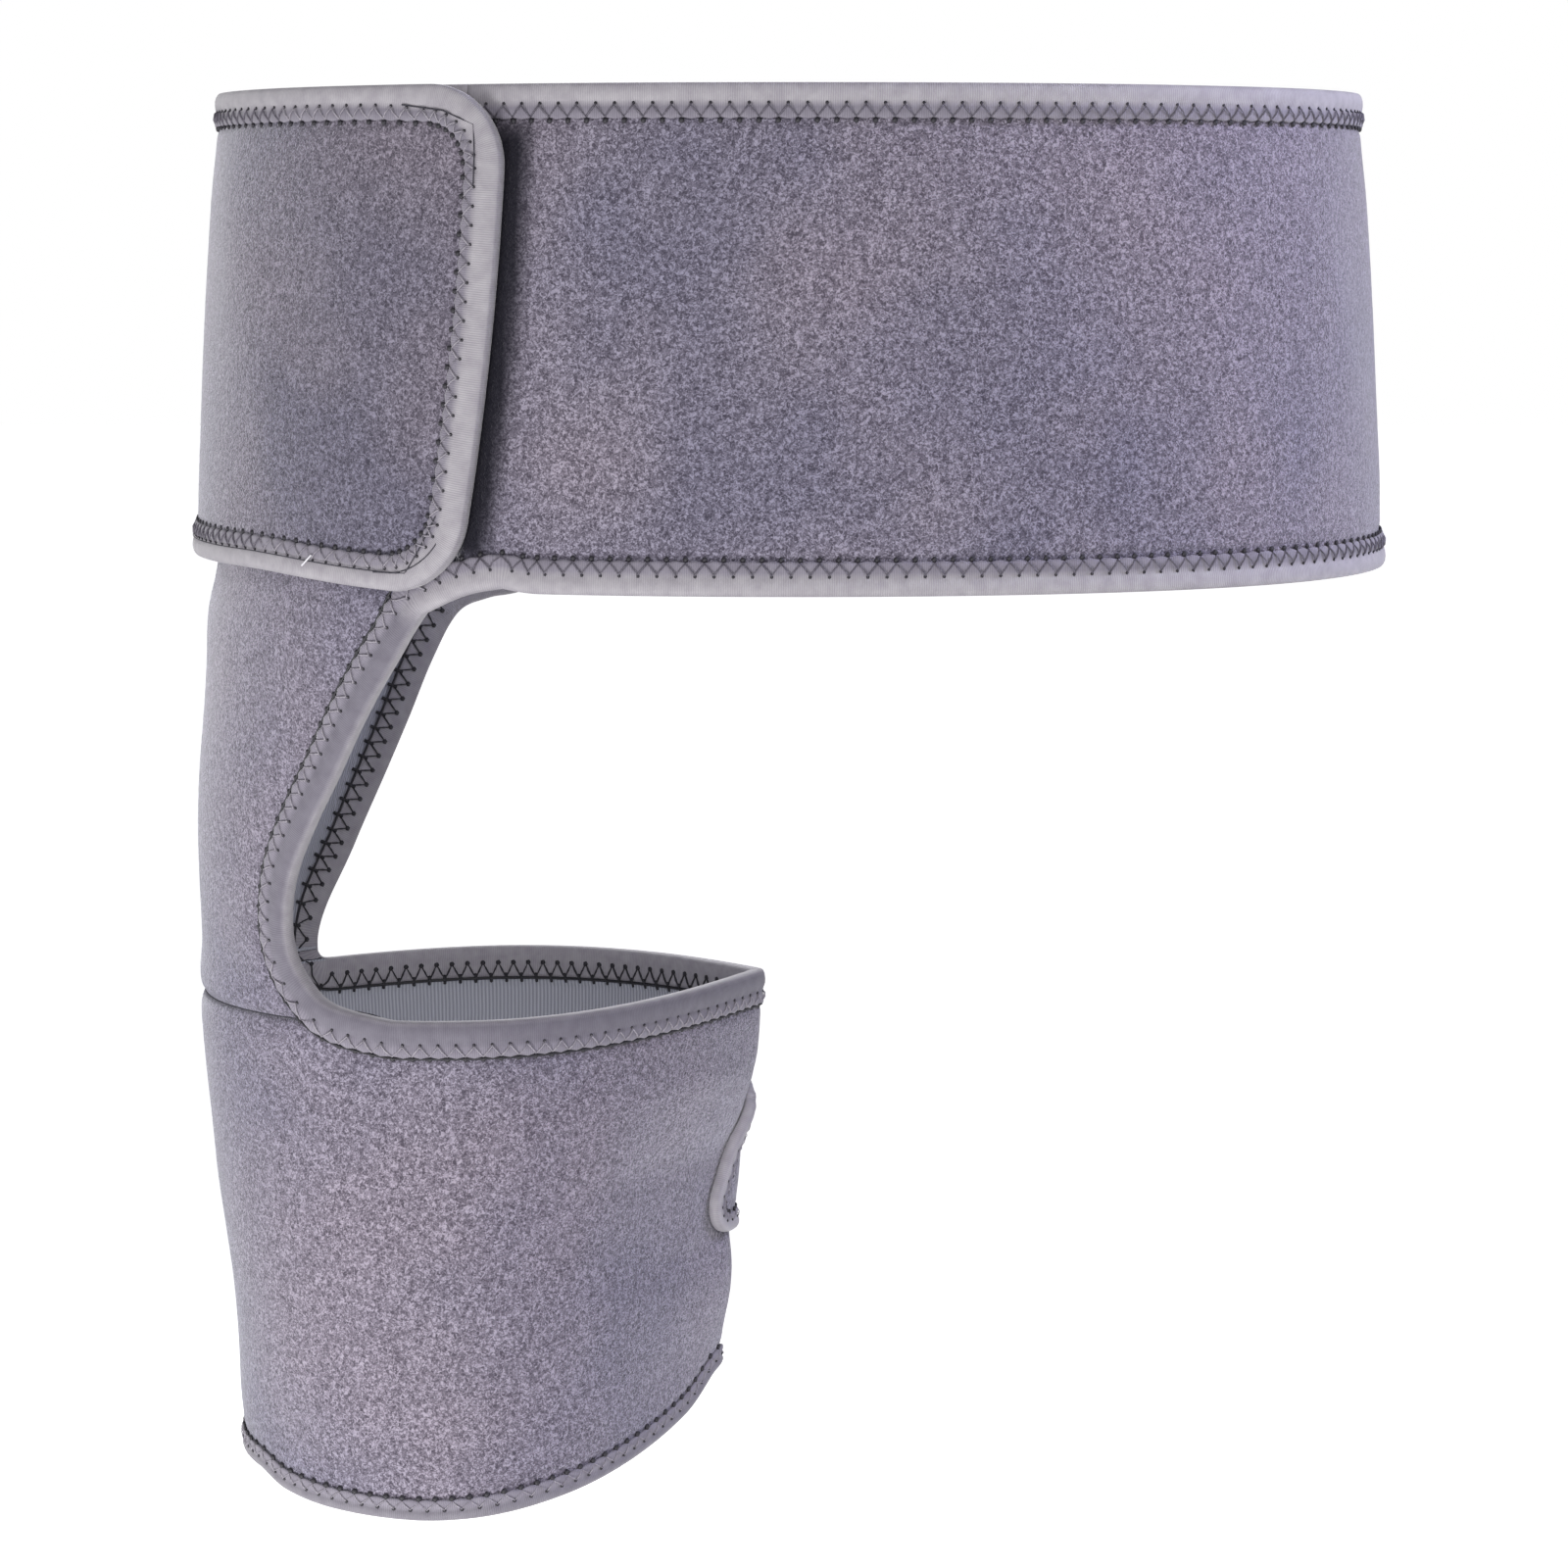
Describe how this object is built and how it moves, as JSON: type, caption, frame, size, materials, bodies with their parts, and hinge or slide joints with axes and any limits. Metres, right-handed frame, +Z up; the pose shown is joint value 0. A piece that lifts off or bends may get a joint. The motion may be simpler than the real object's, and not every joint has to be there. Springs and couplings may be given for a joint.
{
  "type": "groin support brace",
  "caption": "Wrap-around cloth brace: a wide waist belt with an overlapping flap end, a curved hip panel and a short thigh sleeve closed by a strap.",
  "frame": {"origin": "middle of the waist opening at half the belt's height", "axes": "+Z up along the wearer's trunk, -Y towards the wearer's front, -X towards the supported hip"},
  "size_m": [0.3446, 0.2538, 0.3994],
  "materials": {
    "cloth": "matte brushed grey loop cloth on foam",
    "binding": "matte pale grey woven tape",
    "hook_tape": "matte dark grey hook tape"
  },
  "bodies": {
    "root": {"waist_belt": "cloth", "hip_panel": "cloth", "thigh_sleeve": "cloth", "thigh_strap": "cloth", "belt_binding": "binding", "opening_binding": "binding", "hem_binding": "binding", "strap_binding": "binding", "flap_hook_pad": "hook_tape", "strap_hook_pad": "hook_tape"}
  },
  "joints": []
}
